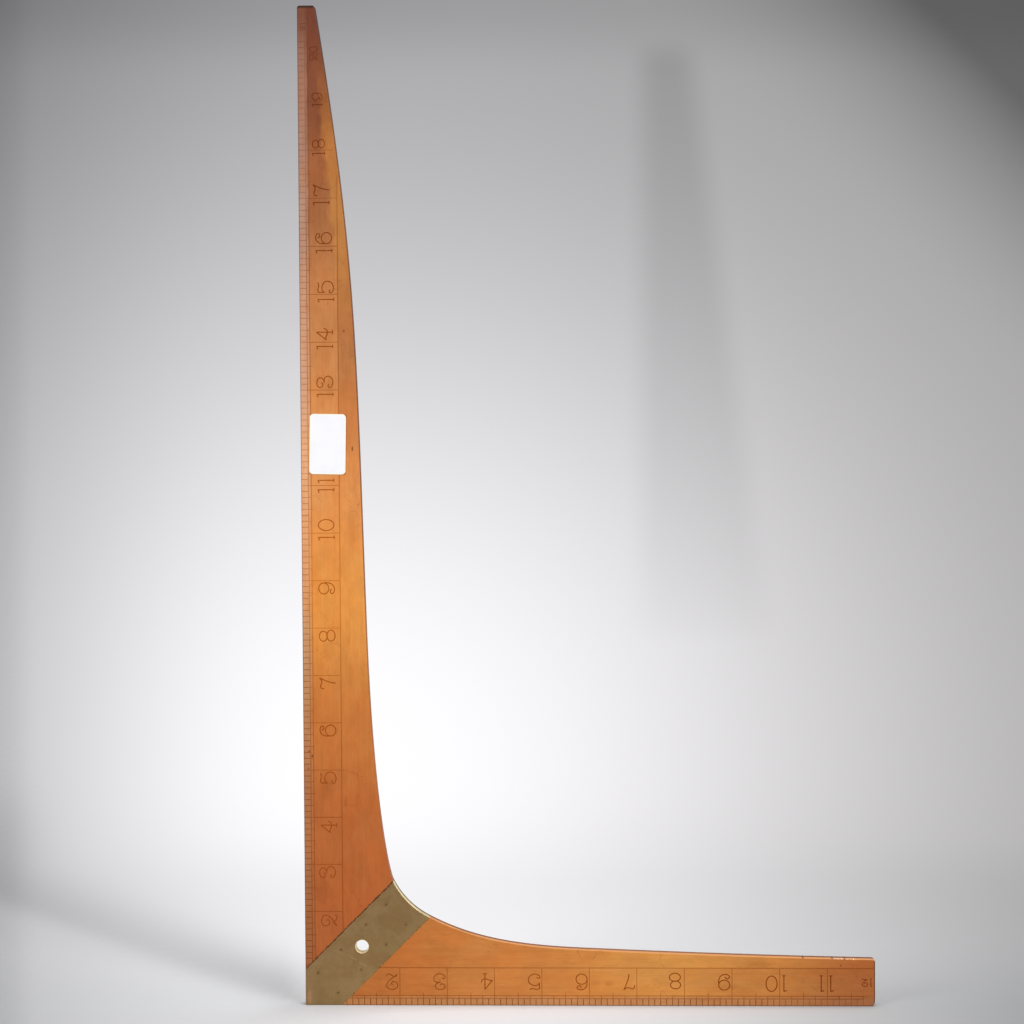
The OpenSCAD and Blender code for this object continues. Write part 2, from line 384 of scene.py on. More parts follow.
class Shader:
    """A node material, built a node at a time. Every value may be a number, a colour or a socket."""

    def __init__(self, name):
        self.material = bpy.data.materials.new(name)
        self.material.use_nodes = True
        self.tree = self.material.node_tree
        self.surface = self.tree.nodes["Principled BSDF"]

    def node(self, kind, values=None, **settings):
        made = self.tree.nodes.new(kind)
        for key, value in settings.items():
            setattr(made, key, value)
        for key, value in (values or {}).items():
            self.set(made.inputs[key], value)
        return made

    def set(self, socket, value):
        if isinstance(value, bpy.types.NodeSocket):
            self.tree.links.new(value, socket)
        else:
            socket.default_value = value

    def math(self, operation, a, b=0.0, c=0.0, clamp=False):
        made = self.node("ShaderNodeMath", {0: a, 1: b, 2: c}, operation=operation, use_clamp=clamp)
        return made.outputs[0]

    def plus(self, a, b):
        return self.math("ADD", a, b)

    def minus(self, a, b):
        return self.math("SUBTRACT", a, b)

    def larger(self, a, b):
        return self.math("MAXIMUM", a, b)

    def size(self, value):
        return self.math("ABSOLUTE", value)

    def gap(self, a, b):
        """How far two values are apart."""
        return self.size(self.minus(a, b))

    def scaled(self, value, times, added):
        """The value, times one and plus another."""
        return self.math("MULTIPLY_ADD", value, times, added)

    def product(self, *values):
        result = values[0]
        for value in values[1:]:
            result = self.math("MULTIPLY", result, value)
        return result

    def rest(self, share):
        """What is left of a share."""
        return self.minus(1.0, share)

    def span(self, value, low, high, smooth=True):
        """0 below low, 1 above high, and between in between."""
        made = self.node("ShaderNodeMapRange", {"Value": value, "From Min": low, "From Max": high})
        made.interpolation_type = "SMOOTHSTEP" if smooth else "LINEAR"
        return made.outputs["Result"]

    def fade(self, value, low, high, smooth=True):
        """1 below low, 0 above high, and between in between."""
        return self.rest(self.span(value, low, high, smooth))

    def reach(self, value, start, full, fading, gone):
        """0 outside a reach, 1 in the middle of it, and between in between."""
        return self.product(self.span(value, start, full), self.fade(value, fading, gone))

    def position(self):
        """The place on the object in millimetres, whole and as x, y and z."""
        place = self.node("ShaderNodeTexCoord").outputs["Object"]
        scaled = self.node("ShaderNodeVectorMath", {0: place, 1: (1 / MM,) * 3}, operation="MULTIPLY")
        parts = self.node("ShaderNodeSeparateXYZ", {0: scaled.outputs[0]})
        return scaled.outputs[0], parts.outputs[0], parts.outputs[1], parts.outputs[2]

    def normal(self):
        """The direction that a spot faces, as x, y and z."""
        normal = self.node("ShaderNodeTexCoord").outputs["Normal"]
        return self.node("ShaderNodeSeparateXYZ", {0: normal}).outputs[:3]

    def wall(self, facing):
        """0 on the faces, and 1 on the walls and on the rounding between."""
        return self.fade(self.size(facing), *WALL_FACING)

    def vector(self, x, y, z):
        return self.node("ShaderNodeCombineXYZ", {0: x, 1: y, 2: z}).outputs[0]

    def noise(self, place, scale, detail, roughness=NOISE_ROUGH, distortion=0.0):
        values = {"Vector": place, "Scale": scale, "Detail": detail, "Roughness": roughness}
        values["Distortion"] = distortion
        return self.node("ShaderNodeTexNoise", values).outputs["Fac"]

    def stretched(self, parts, sizes):
        """A place whose parts are measured in sizes of their own, in millimetres."""
        return self.vector(*(self.math("DIVIDE", part, size) for part, size in zip(parts, sizes)))

    def stretched_noise(self, parts, sizes, detail, roughness=NOISE_ROUGH, distortion=0.0):
        """Noise whose features are about as long along each axis as the sizes say."""
        return self.noise(self.stretched(parts, sizes), 1.0, detail, roughness, distortion)

    def cells(self, place, scale, feature="F1"):
        """Distances in a net of cells, from their middles or from their edges."""
        made = self.node("ShaderNodeTexVoronoi", {"Vector": place, "Scale": scale}, feature=feature)
        return made.outputs["Distance"]

    def mix(self, share, a, b, blend="MIX"):
        # The node takes its two colours at sockets 6 and 7, and gives the mixed one at 2
        values = {0: share, 6: a, 7: b}
        return self.node("ShaderNodeMix", values, data_type="RGBA", blend_type=blend).outputs[2]

    def tint(self, share, colour, times):
        """The colour, multiplied by times where share is 1."""
        return self.mix(share, colour, (*times, 1), "MULTIPLY")

    def stain(self, share, colour, stain):
        """The colour under a stain, which is a strength and a tint."""
        strength, times = stain
        return self.tint(self.product(share, strength), colour, times)

    def paint(self, share, colour, coat):
        """The colour under a coat, which is a strength and a colour."""
        strength, over = coat
        return self.mix(self.product(share, strength), colour, srgb(*over))

    def vary(self, share, colour, low, high):
        """The colour times low where share is 0, and times high where it is 1."""
        return self.mix(share, self.tint(1.0, colour, low), self.tint(1.0, colour, high))

    def ramp(self, value, stops):
        """A colour that runs through the stops, each (place from 0 to 1, colour)."""
        made = self.node("ShaderNodeValToRGB", {0: value})
        ramp = made.color_ramp
        ramp.interpolation = "EASE"
        for place, colour in stops[1:-1]:
            ramp.elements.new(place).color = colour
        for i in (0, -1):
            ramp.elements[i].position, ramp.elements[i].color = stops[i]
        return made.outputs["Color"]

    def spot(self, across, along, at, size, wobble, soft):
        """1 within a ragged oval spot, and 0 outside. Its size is half its width and half its length."""
        dx = self.math("DIVIDE", self.minus(across, at[0]), size[0])
        dz = self.math("DIVIDE", self.minus(along, at[1]), size[1])
        distance = self.math("SQRT", self.plus(self.product(dx, dx), self.product(dz, dz)))
        return self.fade(self.plus(distance, wobble), SPOT_RIM - soft / 2, SPOT_RIM + soft / 2)

    def turned(self, x, z, at, along):
        """How far a place on the face lies along a direction and left of it, from a starting place."""
        dx = self.minus(x, at[0])
        dz = self.minus(z, at[1])
        run = self.plus(self.product(dx, along[0]), self.product(dz, along[1]))
        off = self.minus(self.product(dz, along[0]), self.product(dx, along[1]))
        return run, off

    def stroke(self, x, z, start, stop, half_w):
        """1 on a straight scratch between two places on the face, and 0 off it."""
        whole = Vector(stop) - Vector(start)
        run, off = self.turned(x, z, start, unit(whole))
        ends = self.reach(run, 0, 1, whole.length - 1, whole.length)
        return self.product(ends, self.fade(self.size(off), half_w / 2, 3 * half_w / 2))

    def off_label(self, x, z):
        """Distances from the label's middle, across it and along it."""
        tilt = math.radians(LABEL_TILT)
        return self.turned(x, z, LABEL_AT, (math.cos(tilt), math.sin(tilt)))

    def finish(self, colour, rough, specular=0.5, metallic=0.0):
        """Gives the surface its colour and its gloss."""
        values = {"Base Color": colour, "Roughness": rough, "Metallic": metallic}
        values["Specular IOR Level"] = specular
        for key, value in values.items():
            self.set(self.surface.inputs[key], value)
        return self.material

    def bump(self, height, depth):
        """Gives the surface relief of a depth in millimetres."""
        made = self.node("ShaderNodeBump", {"Height": height, "Distance": depth * MM})
        self.tree.links.new(made.outputs["Normal"], self.surface.inputs["Normal"])


# Tones of the varnish along each arm with painted light, as (distance in millimetres, colour as the eye sees
# it)
# The painted light makes them brightest in the middle of each arm and darker towards its ends
BOARD_TONES_AND_LIGHT = {
    "long": [
        (30, (168, 90, 40)), (95, (179, 98, 43)), (150, (195, 117, 52)), (215, (225, 147, 66)),
        (290, (221, 145, 79)), (365, (193, 127, 72)), (440, (157, 95, 53)), (490, (126, 70, 43)),
        (533, (110, 55, 34)),
    ],
    "short": [
        (30, (178, 104, 43)), (110, (193, 121, 55)), (190, (203, 137, 65)),
        (240, (189, 124, 59)), (300, (165, 94, 43)),
    ],
}
# The worn strip's tones, likewise with painted light and a painted sheen in the middle of the long arm
STRIP_TONES_AND_LIGHT = {
    "long": [
        (30, (151, 92, 50)), (110, (176, 112, 67)), (190, (194, 142, 98)), (220, (217, 155, 105)),
        (290, (229, 170, 124)), (340, (210, 159, 127)), (415, (180, 136, 112)), (490, (161, 116, 96)),
        (533, (120, 71, 52)),
    ],
    "short": [(30, (176, 119, 68)), (160, (189, 131, 81)), (240, (178, 121, 73)), (300, (160, 100, 58))],
}
# The worn strip ends raggedly at the second long line
STRIP_END = (LONG_LINES[0] - 0.5, LONG_LINES[1] + 0.6)
STRIP_SIZES = (3, 3, 14)
STRIP_RAGGED = 2.2
# Beyond the third long line the long arm's wood is redder and the short arm's paler, over these reaches
INNER_FROM = (LONG_LINES[2] - 1, LONG_LINES[2] + 1)
INNER_TINT = {"long": (0.83, 0.75, 0.68), "short": (1.09, 1.12, 1.1)}
INNER_REACH = {"long": (268, 315, 390, 425), "short": (165, 215, 300, 310)}
# Golden wood along the long arm's inner edge near the tip: where it starts across the arm, at the tip and
# further on for each millimetre from there, its reach along the arm, and its shares at the start and the end
GOLD = (190, 124, 58)
GOLD_FROM = (6.6, 0.092)
GOLD_REACH = (350, 410, 468, 512)
GOLD_SHARES = (0.8, 0.5)
# How soft its border is, and how far it wanders, in pieces of which sizes
GOLD_SOFT = 2
GOLD_WANDER = 7
GOLD_SIZES = (5, 5, 12)
# Layers of the wood's figure: the sizes of the features, the noise's detail, roughness and distortion, the
# part of it that is spread out, and the tints at its low and its high end
FIGURE = (
    ((15, 15, 34), 2, 0.55, 0.4, (0.36, 0.64), (1.025, 0.97, 0.9), (0.985, 1.02, 1.06)),
    ((7, 7, 16), 3, 0.55, 0.5, (0.34, 0.66), (0.955, 0.94, 0.91), (1.035, 1.05, 1.07)),
    ((2.4, 2.4, 6), 2, 0.55, 0, (0.34, 0.66), (0.98, 0.965, 0.945), (1.015, 1.025, 1.04)),
    ((1.3, 3, 60), 4, 0.6, 0, (0.35, 0.68), (0.97, 0.95, 0.93), (1.02, 1.02, 1.02)),
)
# The layer that the gloss follows
CLOUDS = 1
# The grain: its sizes, detail and roughness, the part of it that is spread out, and its stain
GRAIN = ((0.22, 0.22, 5.5), 3, 0.7)
GRAIN_SPREAD = (0.3, 0.72)
GRAIN_STAIN = (0.22, (0.72, 0.62, 0.52))


def tones_along(arm, tones):
    """An arm's tones, placed by their shares of its length."""
    return [(s / LENGTH[arm], srgb(*colour)) for s, colour in tones[arm]]


def golden(shader, board, parts):
    """The long arm's board with the golden wood near its tip."""
    across, _, along = parts
    start, slope = GOLD_FROM
    from_tip = shader.minus(LENGTH["long"], along)
    off = shader.minus(across, shader.scaled(from_tip, slope, start))
    wander = shader.stretched_noise(parts, GOLD_SIZES, 2)
    off = shader.plus(off, shader.scaled(wander, GOLD_WANDER, -GOLD_WANDER / 2))
    first, last = GOLD_SHARES
    full = shader.scaled(shader.span(along, GOLD_REACH[1], GOLD_REACH[3]), last - first, first)
    near = shader.reach(along, *GOLD_REACH)
    return shader.mix(shader.product(shader.span(off, -GOLD_SOFT, GOLD_SOFT), near, full), board, srgb(*GOLD))


def wood_tone(shader, arm, parts):
    """The colour of an arm's varnish with painted light along it, worn pale along the scale, and golden near
    the tip.
    """
    across, _, along = parts
    share = shader.math("DIVIDE", along, LENGTH[arm])
    board = shader.ramp(share, tones_along(arm, BOARD_TONES_AND_LIGHT))
    inner = shader.product(shader.span(across, *INNER_FROM), shader.reach(along, *INNER_REACH[arm]))
    board = shader.tint(inner, board, INNER_TINT[arm])
    if arm == "long":
        board = golden(shader, board, parts)
    drift = shader.stretched_noise(parts, STRIP_SIZES, 3)
    ragged = shader.plus(across, shader.product(shader.minus(drift, 0.5), STRIP_RAGGED))
    strip = shader.ramp(share, tones_along(arm, STRIP_TONES_AND_LIGHT))
    return shader.mix(shader.fade(ragged, *STRIP_END), board, strip)


def wood_figure(shader, colour, parts):
    """Soft clouds, faint streaks and a fine close grain."""
    layers = []
    for sizes, detail, roughness, distortion, spread, low, high in FIGURE:
        layer = shader.stretched_noise(parts, sizes, detail, roughness, distortion)
        colour = shader.vary(shader.span(layer, *spread), colour, low, high)
        layers.append(layer)
    grain = shader.stretched_noise(parts, *GRAIN)
    fine = shader.fade(grain, *GRAIN_SPREAD, smooth=False)
    return shader.stain(fine, colour, GRAIN_STAIN), layers[CLOUDS], grain


# Dirt in the seams: the noise that its width follows, and how, how much wider it is on the long arm's side,
# and how soft
SEAM_NOISE = (0.7, 3)
SEAM_WIDTH = (2.2, -0.92)
SEAM_WIDER = (0.5, -0.2)
SEAM_SOFT = 0.15
SEAM_DIRT = (92, 52, 22)
WOOD_SEAM = (0.85, SEAM_DIRT)
BRASS_SEAM = (0.8, SEAM_DIRT)


def seam_dirt(shader, place, x, z):
    """Dirt in the seams, a line of uneven width with gaps, and the distance from the nearer seam."""
    slant = shader.minus(z, x)
    off = shader.gap(shader.size(slant), SEAM_D)
    width = shader.scaled(shader.noise(place, *SEAM_NOISE), *SEAM_WIDTH)
    width = shader.plus(width, shader.scaled(shader.span(slant, -1, 1), *SEAM_WIDER))
    return shader.fade(shader.minus(off, width), -SEAM_SOFT, SEAM_SOFT), off


# The short arm's upper wall has a painted highlight where it faces up and towards the front
HIGHLIGHT_WOOD = (208, 142, 84)
HIGHLIGHT_FACING = (0.25, 0.6)
HIGHLIGHT_DEPTH = (-0.8, 0.2)
# Chips of bare wood with painted glints show in it over a reach along the arm
BARE_WOOD_GLINT = (255, 244, 222)
CHIP_SIZES = (0.8, 1.4, 0.8)
CHIPPED = (0.55, 0.62)
GLINTS = (281, 282, 294, 295)
# Knocks in it, as distances along the arm, with their half width and tint
NICKS = (266.4, 282, 288.5)
NICK_HALF_W = (0.25, 0.6)
NICK_TINT = (0.3, 0.26, 0.24)
# Walls and edges are darkened, and so is the face as far as this from the outer edge
# The darkening is painted shade of the dark outline round the arms, with some grime from handling
EDGE_SHADE_AND_GRIME = {"long": (0.40, 0.32, 0.24), "short": (0.44, 0.36, 0.26)}
EDGE_REACH = (0.15, 0.6)
# The long arm's inner wall is less darkened towards its foot
LESS_DARK_FROM = (20, 22)
LESS_DARK_BELOW = (110, 250)
LESS_DARK_SHARE = 0.8
# How far each arm's end is darkened, and how strongly: painted shade of the rounded end, with some dirt
END_SHADE_AND_GRIME = {"long": (2.0, 0.95), "short": (1.0, 0.6)}
END_SHADE_AND_DIRT = (52, 28, 18)


def upper_wall(shader, colour, wall, facing_up, y, along):
    """The short arm's upper wall, with a painted highlight in front, painted glints and nicks, and how bright
    it is.
    """
    bright = shader.product(shader.span(facing_up, *HIGHLIGHT_FACING), shader.fade(y, *HIGHLIGHT_DEPTH))
    chips = shader.stretched_noise((along, y, along), CHIP_SIZES, 2)
    glint = shader.product(shader.span(chips, *CHIPPED), shader.reach(along, *GLINTS))
    highlighted = shader.mix(glint, srgb(*HIGHLIGHT_WOOD), srgb(*BARE_WOOD_GLINT))
    colour = shader.mix(shader.product(wall, bright), colour, highlighted)
    for s in NICKS:
        nick = shader.fade(shader.gap(along, s), *NICK_HALF_W)
        colour = shader.tint(shader.product(nick, wall), colour, NICK_TINT)
    return colour, bright


def wood_edges(shader, colour, arm, parts):
    """Walls, rounded edges and the end, darkened by painted shade and grime but for the short arm's upper
    wall.
    """
    across, y, along = parts
    normal = shader.normal()
    wall = shader.wall(normal[1])
    rim = shader.larger(wall, shader.fade(across, *EDGE_REACH))
    bright = 0.0
    if arm == "short":
        colour, bright = upper_wall(shader, colour, wall, normal[2], y, along)
    else:
        less_dark = shader.product(shader.span(across, *LESS_DARK_FROM), shader.fade(along, *LESS_DARK_BELOW))
        rim = shader.product(rim, shader.rest(shader.product(less_dark, LESS_DARK_SHARE)))
    colour = shader.tint(shader.product(rim, shader.rest(bright)), colour, EDGE_SHADE_AND_GRIME[arm])
    reach, strength = END_SHADE_AND_GRIME[arm]
    end = shader.span(along, LENGTH[arm] - reach, LENGTH[arm] - reach / 3)
    return shader.paint(end, colour, (strength, END_SHADE_AND_DIRT))


# Old stains, as (distance across, distance along, half width, half length), in millimetres
STAINS = {
    "long": [
        (4.9, 134.6, 0.7, 0.7), (3.0, 137.2, 0.45, 0.6), (2.6, 128.0, 0.4, 0.4),
        (23.5, 361.5, 0.5, 0.7), (27.5, 299.0, 0.5, 1.4),
    ],
    "short": [(22.0, 286.5, 0.5, 0.5)],
}
STAIN_NOISE = (1.1, 3)
STAIN_SOFT = 0.8
STAIN = (0.75, (70, 34, 20))
# Soft smudges, given alike
SMUDGES = {
    "long": [
        (12, 118, 4, 9), (9, 62, 5, 7), (27, 255, 4, 12), (14, 478, 5, 14), (15.5, 333, 4.5, 6),
        (24.7, 196.6, 0.8, 2.2), (22.6, 110, 1.2, 4),
    ],
    "short": [
        (12, 156, 1.6, 3.4), (12, 163, 1.6, 2.6), (22.5, 244, 2.4, 9), (10.5, 226, 1.6, 10), (40, 88, 3, 9),
    ],
}
SMUDGE_NOISE = (0.25, 3)
SMUDGE_RAGGED = 1.4
SMUDGE_SOFT = 1.4
SMUDGE = (0.7, (0.80, 0.74, 0.66))
# Specks: how many there are, how large they are, and their share of a stain
SPECK_SCALE = 0.085
SPECK_SIZE = (0.012, 0.03)
SPECK_SHARE = 0.5
# Hair cracks: the sizes of their net and of its bends, the noise that says where they show, and their width
NET_SIZES = (9, 9, 21)
NET_BENDS = (2.5, 2.5, 2.5)
CRACK_NOISE = (0.045, 2)
CRACKED = (0.52, 0.6)
CRACK_W = (0.004, 0.016)
CRACK = (0.5, (0.66, 0.56, 0.5))


def wood_marks(shader, colour, arm, place, parts):
    """Smudges, stains, small dark specks and hair cracks."""
    across, _, along = parts
    loose = shader.product(shader.noise(place, *SMUDGE_NOISE), SMUDGE_RAGGED)
    for d, s, half_w, half_l in SMUDGES[arm]:
        smudge = shader.spot(across, along, (d, s), (half_w, half_l), loose, SMUDGE_SOFT)
        colour = shader.stain(smudge, colour, SMUDGE)
    wobble = shader.noise(place, *STAIN_NOISE)
    stained = shader.product(shader.fade(shader.cells(place, SPECK_SCALE), *SPECK_SIZE), SPECK_SHARE)
    for d, s, half_w, half_l in STAINS[arm]:
        stain = shader.spot(across, along, (d, s), (half_w, half_l), wobble, STAIN_SOFT)
        stained = shader.larger(stained, stain)
    colour = shader.paint(stained, colour, STAIN)

    # The net of the cracks is bent across the arm
    bent = shader.product(shader.stretched_noise(parts, NET_BENDS, 2), NET_SIZES[0])
    net = shader.stretched((shader.plus(across, bent), *parts[1:]), NET_SIZES)
    crack = shader.fade(shader.cells(net, 1.0, "DISTANCE_TO_EDGE"), *CRACK_W)
    shown = shader.span(shader.noise(place, *CRACK_NOISE), *CRACKED)
    return shader.stain(shader.product(crack, shown), colour, CRACK)


# Grime beside the long lines, as its reach and its stain
GRIME_REACH = (0.1, 0.8)
GRIME = (0.16, (0.62, 0.5, 0.42))
# Painted shadow of the label on the board right of it and below it: its reach, where it ends at the corners,
# how far down the board's rounding it runs, and its strength and tint
LABEL_SHADOW_REACH = (0.15, 0.55)
LABEL_SHADOW_END = (-0.1, 0.3)
LABEL_SHADOW_GONE = 9
LABEL_SHADOW_DEPTH = (-HALF_T + 0.3, -HALF_T + 0.1)
LABEL_SHADOW = (0.6, (0.6, 0.5, 0.45))
# The roughness, as how it follows the clouds and its least value, the gloss, and the relief's noise and depth
WOOD_ROUGH = (0.16, 0.36)
WOOD_GLOSS = 0.25
DENT_NOISE = (0.16, 2)
GRAIN_RELIEF = 0.25
WOOD_RELIEF = 0.12


def label_shadow(shader, colour, y, side, end):
    """Painted shadow of the label on the board along its right side and its lower end."""
    half_w, half_l = (size / 2 for size in LABEL_SIZE)
    beside = shader.larger(shader.minus(side, half_w), 0.0)
    below = shader.larger(shader.minus(-half_l, end), 0.0)
    past = shader.larger(shader.minus(end, half_l), shader.minus(-half_w, side))
    off = shader.plus(shader.larger(beside, below), shader.product(shader.span(past, *LABEL_SHADOW_END), LABEL_SHADOW_GONE))
    rim = shader.product(shader.fade(off, *LABEL_SHADOW_REACH), shader.span(y, *LABEL_SHADOW_DEPTH))
    return shader.stain(rim, colour, LABEL_SHADOW)


def boxwood(arm):
    """Close-grained boxwood under an old varnish, worn pale along the scale and grimy at the edges."""
    shader = Shader("boxwood_" + arm)
    place, x, y, z = shader.position()
    across, along = (x, z) if arm == "long" else (z, x)
    parts = (across, y, along)
    colour = wood_tone(shader, arm, parts)
    colour, clouds, grain = wood_figure(shader, colour, parts)
    for d in LONG_LINES:
        colour = shader.stain(shader.fade(shader.gap(across, d), *GRIME_REACH), colour, GRIME)
    colour = wood_edges(shader, colour, arm, parts)
    colour = wood_marks(shader, colour, arm, place, parts)
    dirt, _ = seam_dirt(shader, place, x, z)
    colour = shader.paint(dirt, colour, WOOD_SEAM)
    if arm == "long":
        colour = label_shadow(shader, colour, y, *shader.off_label(x, z))
    dents = shader.noise(place, *DENT_NOISE)
    shader.bump(shader.scaled(grain, GRAIN_RELIEF, dents), WOOD_RELIEF)
    return shader.finish(colour, shader.scaled(clouds, *WOOD_ROUGH), WOOD_GLOSS)


# Brass as its light tone, its dark tone, its least roughness and its metallic share
BRASS = {
    "old_brass": ((156, 127, 86), (146, 115, 73), 0.3, 0.85),
    # The hollow's rubbed brass is pale and less metallic, as a painted highlight
    "rubbed_brass_highlight": ((240, 222, 172), (232, 210, 156), 0.35, 0.35),
    "rivet_metal": ((152, 123, 82), (141, 110, 69), 0.3, 0.85),
    "punched_metal": ((112, 86, 52), (98, 74, 44), 0.4, 0.85),
}
# Its noises, as scale, detail, roughness and distortion, the blotches' share, and the part that is spread out
CLOUD_NOISE = (0.055, 5, 0.6, 0.8)
BLOTCH_NOISE = (0.3, 4, 0.65)
BLOTCH_SHARE = 0.3
CAST_SPREAD = (0.4, 0.62)
# Green patches below the diagonal
GREEN_FROM = (-2, 16)
GREEN_NOISE = (0.12, 3)
GREEN_SPREAD = (0.45, 0.62)
GREEN_BRASS = (0.4, (154, 135, 88))
# Fine scratches that run up and down the diagonal, as turn and strength
FINE_SCRATCHES = ((1, 0.3), (-1, 0.22))
FINE_SIZES = (0.16, 9, 26)
FINE_SPREAD = (0.66, 0.74)
FINE_TONE = (184, 160, 114)
TARNISH_SCALE = 0.16
TARNISH_SIZE = (0.03, 0.09)
TARNISH = (0.3, (84, 66, 46))
BLOTCH_ROUGH = 0.14
BRASS_RELIEF = 0.05
# Marks on the corner's faces: chips beside the seams, the rubbed heel, and scratches, each as two ends and a
# strength
CHIP_NOISE = (1.7, 2)
CHIP_SPREAD = (0.6, 0.68)
CHIP_REACH = (0.5, 1.3)
CHIP = (0.55, (200, 156, 102))
HEEL_NOISE = (0.8, 3)
HEEL_AT = (2.2, 4.4)
HEEL_SIZE = (1.3, 4.4)
HEEL_SOFT = 1
HEEL = (0.8, (182, 138, 98))
SCRATCHES = (
    ((23.3, 27.0), (28.0, 24.2), 0.4), ((28.5, 23.6), (33.5, 20.8), 0.42), ((51.0, 36.0), (47.0, 39.6), 0.25),
)
SCRATCH_HALF_W = 0.2
SCRATCH_TONE = (196, 172, 122)
# Painted shade on the walls that face down and to the left: how far they face up and right, and its tint
OUTER_SHADE_FACING = (-0.3, 0.1)
OUTER_SHADE_TINT = (0.5, 0.5, 0.52)
# The hollow's wall has painted shade towards the back
HOLLOW_FROM = (92, 96)
REAR_SHADE_DEPTH = (-0.5, 0.3)
REAR_SHADE_BRASS = (0.95, (112, 90, 66))


def brass_face(shader, colour, place, parts):
    """What has happened to the corner's faces: dirty seams, chipped edges, a rubbed heel and scratches, and
    painted shade.
    """
    x, _, z = parts
    dirt, off = seam_dirt(shader, place, x, z)
    chips = shader.span(shader.noise(place, *CHIP_NOISE), *CHIP_SPREAD)
    colour = shader.paint(shader.product(chips, shader.fade(off, *CHIP_REACH)), colour, CHIP)
    colour = shader.paint(dirt, colour, BRASS_SEAM)
    heel = shader.spot(x, z, HEEL_AT, HEEL_SIZE, shader.noise(place, *HEEL_NOISE), HEEL_SOFT)
    colour = shader.paint(heel, colour, HEEL)
    for start, stop, strength in SCRATCHES:
        scratch = shader.stroke(x, z, start, stop, SCRATCH_HALF_W)
        colour = shader.paint(scratch, colour, (strength, SCRATCH_TONE))
    normal = shader.normal()
    outer_shade = shader.fade(shader.plus(normal[0], normal[2]), *OUTER_SHADE_FACING)
    return shader.tint(shader.product(shader.wall(normal[1]), outer_shade), colour, OUTER_SHADE_TINT)


def hollow_rear_shade(shader, colour, _, parts):
    """Painted shade on the hollow's rear edge."""
    x, y, z = parts
    in_hollow = shader.span(shader.plus(x, z), *HOLLOW_FROM)
    return shader.paint(shader.product(in_hollow, shader.span(y, *REAR_SHADE_DEPTH)), colour, REAR_SHADE_BRASS)


def old_brass(name):
    """Brass gone dull, cloudy between two tones, with a few fine scratches."""
    light, dark, rough, metallic = BRASS[name]
    shader = Shader(name)
    place, x, y, z = shader.position()
    blotches = shader.noise(place, *BLOTCH_NOISE)
    clouds = shader.product(shader.noise(place, *CLOUD_NOISE), 1 - BLOTCH_SHARE)
    cast = shader.plus(clouds, shader.product(blotches, BLOTCH_SHARE))
    colour = shader.mix(shader.span(cast, *CAST_SPREAD), srgb(*dark), srgb(*light))
    green = shader.span(shader.noise(place, *GREEN_NOISE), *GREEN_SPREAD)
    below = shader.span(shader.minus(x, z), *GREEN_FROM)
    colour = shader.paint(shader.product(below, green), colour, GREEN_BRASS)
    for turn, strength in FINE_SCRATCHES:
        turned = shader.product(z, turn)
        run = shader.plus(x, turned)
        side = shader.minus(x, turned)
        lines = shader.stretched_noise((run, y, side), FINE_SIZES, 2)
        colour = shader.paint(shader.span(lines, *FINE_SPREAD), colour, (strength, FINE_TONE))
    tarnish = shader.fade(shader.cells(place, TARNISH_SCALE), *TARNISH_SIZE)
    colour = shader.paint(tarnish, colour, TARNISH)
    if name in MARKED_BRASS:
        colour = MARKED_BRASS[name](shader, colour, place, (x, y, z))
    shader.bump(blotches, BRASS_RELIEF)
    return shader.finish(colour, shader.scaled(blotches, BLOTCH_ROUGH, rough), metallic=metallic)


MARKED_BRASS = {"old_brass": brass_face, "rubbed_brass_highlight": hollow_rear_shade}

# How much of the pigment is left along each arm, as (distance in millimetres, share), and its full tint
PIGMENT = {
    "long": {
        "numerals": [
            (50, 0.6), (100, 0.66), (130, 0.8), (160, 0.92), (230, 0.9), (290, 1), (440, 1),
            (480, 0.92), (520, 0.65),
        ],
        "marks": [(60, 0.78), (140, 0.86), (250, 0.72), (310, 0.66), (400, 0.55), (533, 0.38)],
        "lines": [(60, 0.6), (150, 0.62), (240, 0.52), (300, 0.68), (410, 0.66), (440, 0.42), (533, 0.22)],
    },
    "short": {
        "numerals": [(50, 0.74), (100, 0.87), (180, 0.88), (205, 1), (300, 1)],
        "marks": [(50, 1), (240, 1), (262, 0.5), (304, 0.35)],
        "lines": [(50, 0.64), (304, 0.62)],
    },
}
PIGMENT_TINT = {"long": (0.5, 0.26, 0.0), "short": (0.4, 0.18, 0.0)}
PIGMENT_NOISE = (0.35, 4)
PIGMENT_PATCHY = (0.8, 0.6)
PIGMENT_FINISH = (0.8, 0.1)
# Where the lines end and the marks start
MARKS_BELOW = (LONG_LINES[0] - LINE_HALF_W - 0.1, LONG_LINES[0] - LINE_HALF_W)


def pigment_left(shader, arm, kind, along):
    """Share of the pigment left in one kind of cut at a distance along the arm."""
    length = LENGTH[arm]
    stops = [(s / length, (share, share, share, 1)) for s, share in PIGMENT[arm][kind]]
    return shader.ramp(shader.math("DIVIDE", along, length), stops)


def filling(arm, kinds):
    """Pigment rubbed into an arm's cuts and partly worn out, so that the wood's own tone shows through."""
    shader = Shader("_".join((arm,) + kinds))
    place, x, y, z = shader.position()
    across, along = (x, z) if arm == "long" else (z, x)
    left = pigment_left(shader, arm, kinds[0], along)
    if len(kinds) > 1:
        left = shader.mix(shader.fade(across, *MARKS_BELOW), left, pigment_left(shader, arm, kinds[1], along))
    patchy = shader.scaled(shader.noise(place, *PIGMENT_NOISE), *PIGMENT_PATCHY)
    wood = wood_tone(shader, arm, (across, y, along))
    colour = shader.tint(shader.math("MULTIPLY", left, patchy, clamp=True), wood, PIGMENT_TINT[arm])
    return shader.finish(colour, *PIGMENT_FINISH)


